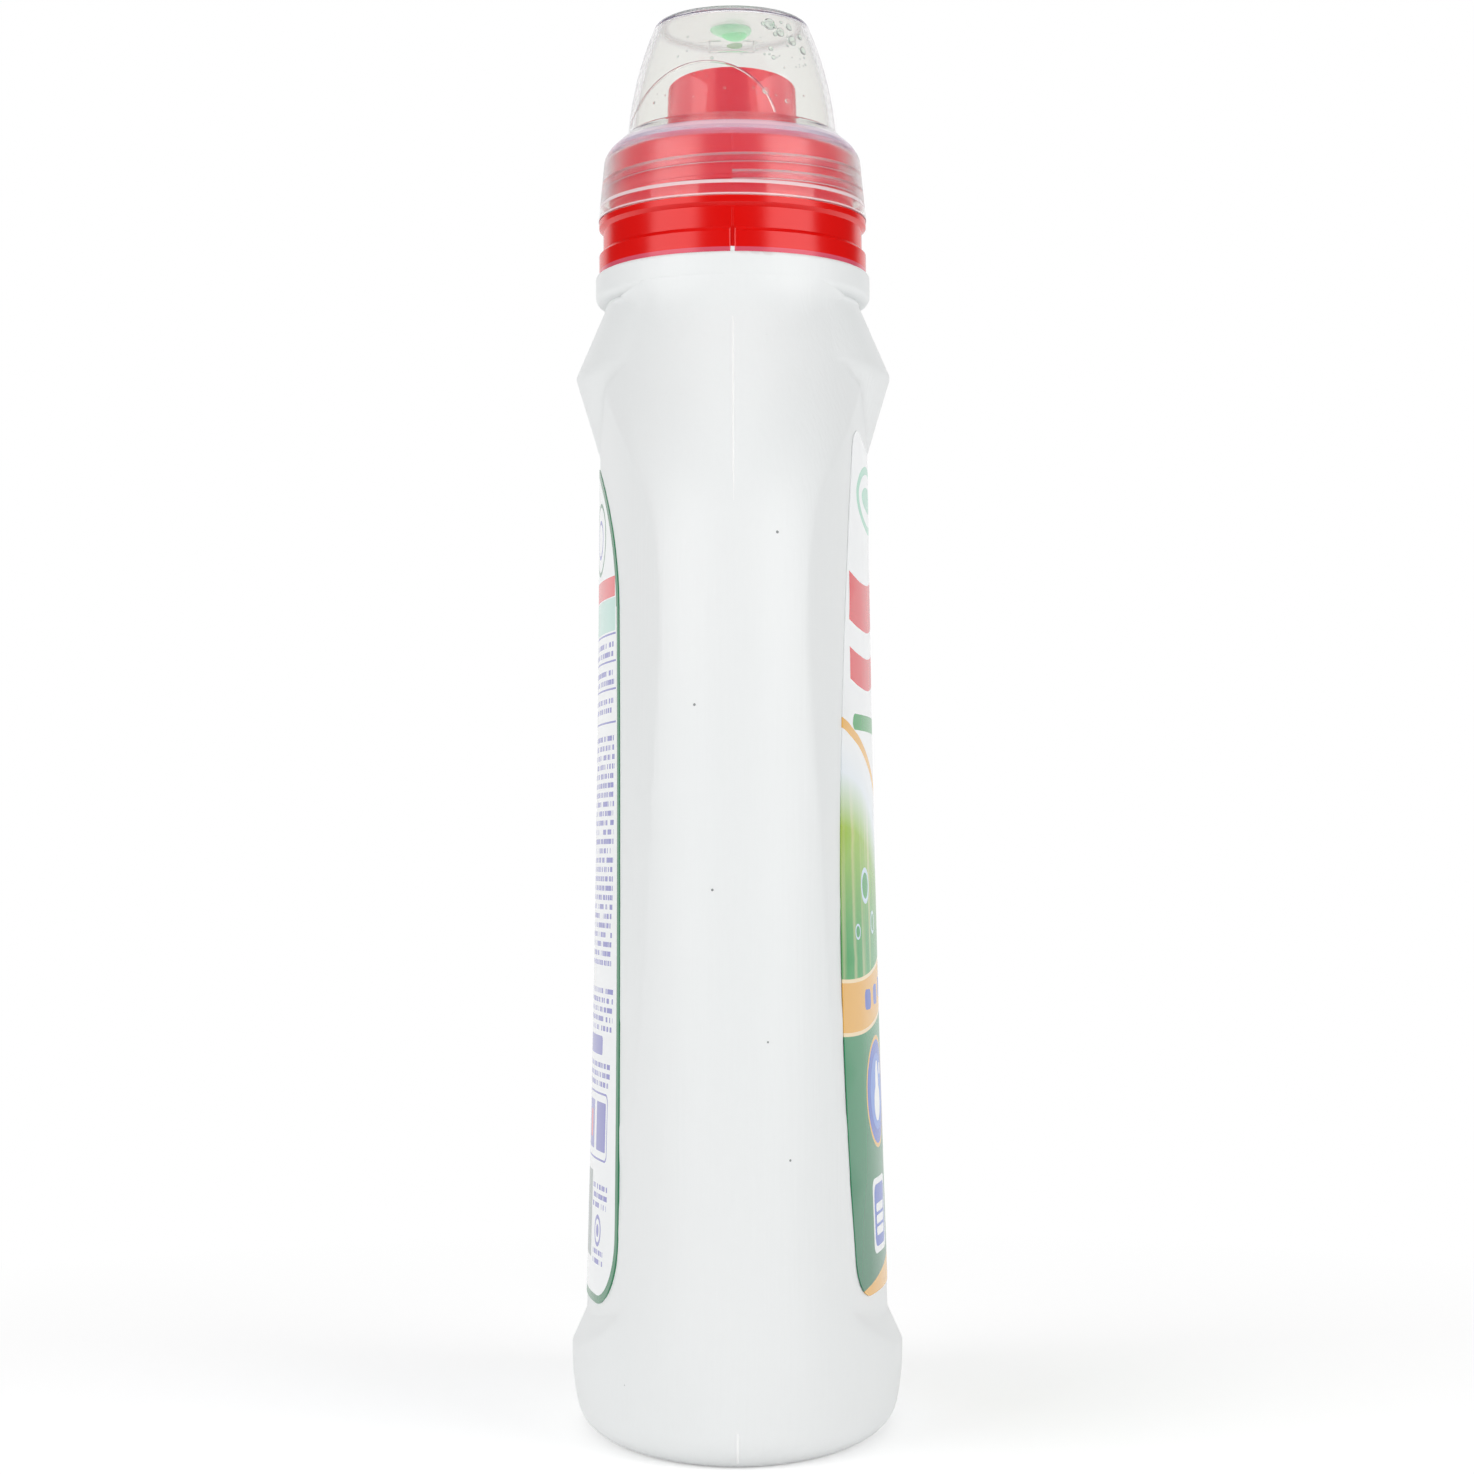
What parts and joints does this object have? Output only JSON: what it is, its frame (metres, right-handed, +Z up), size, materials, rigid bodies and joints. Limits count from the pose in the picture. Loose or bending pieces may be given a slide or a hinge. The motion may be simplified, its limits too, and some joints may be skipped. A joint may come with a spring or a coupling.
{
  "type": "laundry detergent bottle",
  "caption": "Flat-sided white laundry detergent bottle with a red pouring spout and a clear screw-on dosing cap that lifts off.",
  "frame": {"origin": "middle of the base, on the ground", "axes": "+Z up to the cap, X across the wide faces with the pouring lip towards -X, -Y out of the front label"},
  "size_m": [0.108, 0.0642, 0.272],
  "materials": {
    "white_hdpe": "satin, opaque",
    "red_pp": "glossy, opaque",
    "clear_pp": "clear cup, frosted skirt",
    "front_film": "printed film",
    "back_film": "printed film"
  },
  "bodies": {
    "bottle": {"bottle": "white_hdpe", "pour_spout": "red_pp", "front_label": "front_film", "back_label": "back_film"},
    "cap": {"dosing_cap": "clear_pp"}
  },
  "joints": [
    {"name": "cap_lift", "type": "slide", "parent": "bottle", "child": "cap", "axis": [0, 0, 1], "range_m": [0, 0.06]}
  ]
}
